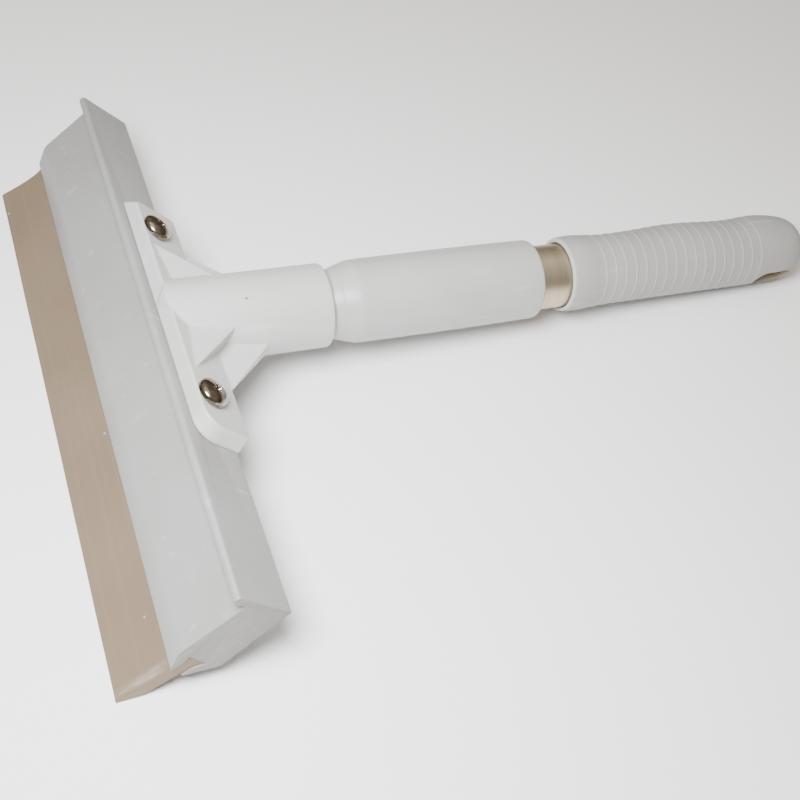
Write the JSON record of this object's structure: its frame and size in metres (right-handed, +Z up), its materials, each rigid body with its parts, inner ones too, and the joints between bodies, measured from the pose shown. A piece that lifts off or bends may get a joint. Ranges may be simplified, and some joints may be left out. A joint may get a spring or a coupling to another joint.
{
  "type": "window squeegee",
  "caption": "Hand squeegee: a bar with a dovetail slot grips a thick angled blade, a screwed-on bracket holds a threaded tubular handle with a ribbed grip.",
  "frame": {"origin": "on the table, under the middle of the bounding box of the tool as it lies on its blade edge and grip", "axes": "+X along the bar, +Y from the bar toward the grip's end, +Z up"},
  "size_m": [0.243, 0.317, 0.0476],
  "materials": {
    "bar_plastic": "white ABS, satin, sawn ends",
    "blade_rubber": "natural tan silicone, matt",
    "screw_steel": "polished stainless steel",
    "bracket_plastic": "white moulded plastic, semi-gloss",
    "sleeve_plastic": "white moulded plastic, semi-gloss",
    "tube_metal": "bright metal, finely brushed around",
    "grip_plastic": "soft off-white moulded vinyl"
  },
  "bodies": {
    "head": {"bar": "bar_plastic", "bracket": "bracket_plastic", "screw_near": "screw_steel", "screw_far": "screw_steel"},
    "blade": {"blade": "blade_rubber"},
    "ring": {"seat_ring": "bracket_plastic"},
    "handle": {"threaded_tip": "bracket_plastic", "tip_pin": "screw_steel", "sleeve": "sleeve_plastic", "tube": "tube_metal", "grip": "grip_plastic"}
  },
  "joints": [
    {"name": "blade_slide", "type": "slide", "parent": "head", "child": "blade", "axis": [1, 0, 0], "range_m": [-0.235, 0.235]},
    {"name": "thread_travel", "type": "slide", "parent": "head", "child": "ring", "axis": [0, 0.9977, -0.0676], "range_m": [0, 0.0203]},
    {"name": "handle_turn", "type": "hinge", "parent": "ring", "child": "handle", "pos_m": [0, -0.10732, 0.03118], "axis": [0, 0.9977, -0.0676], "range_deg": [0, 1440]}
  ],
  "couplings": [
    {"joint": "handle_turn", "follows": "thread_travel", "rad_per_m": 1236.8}
  ]
}
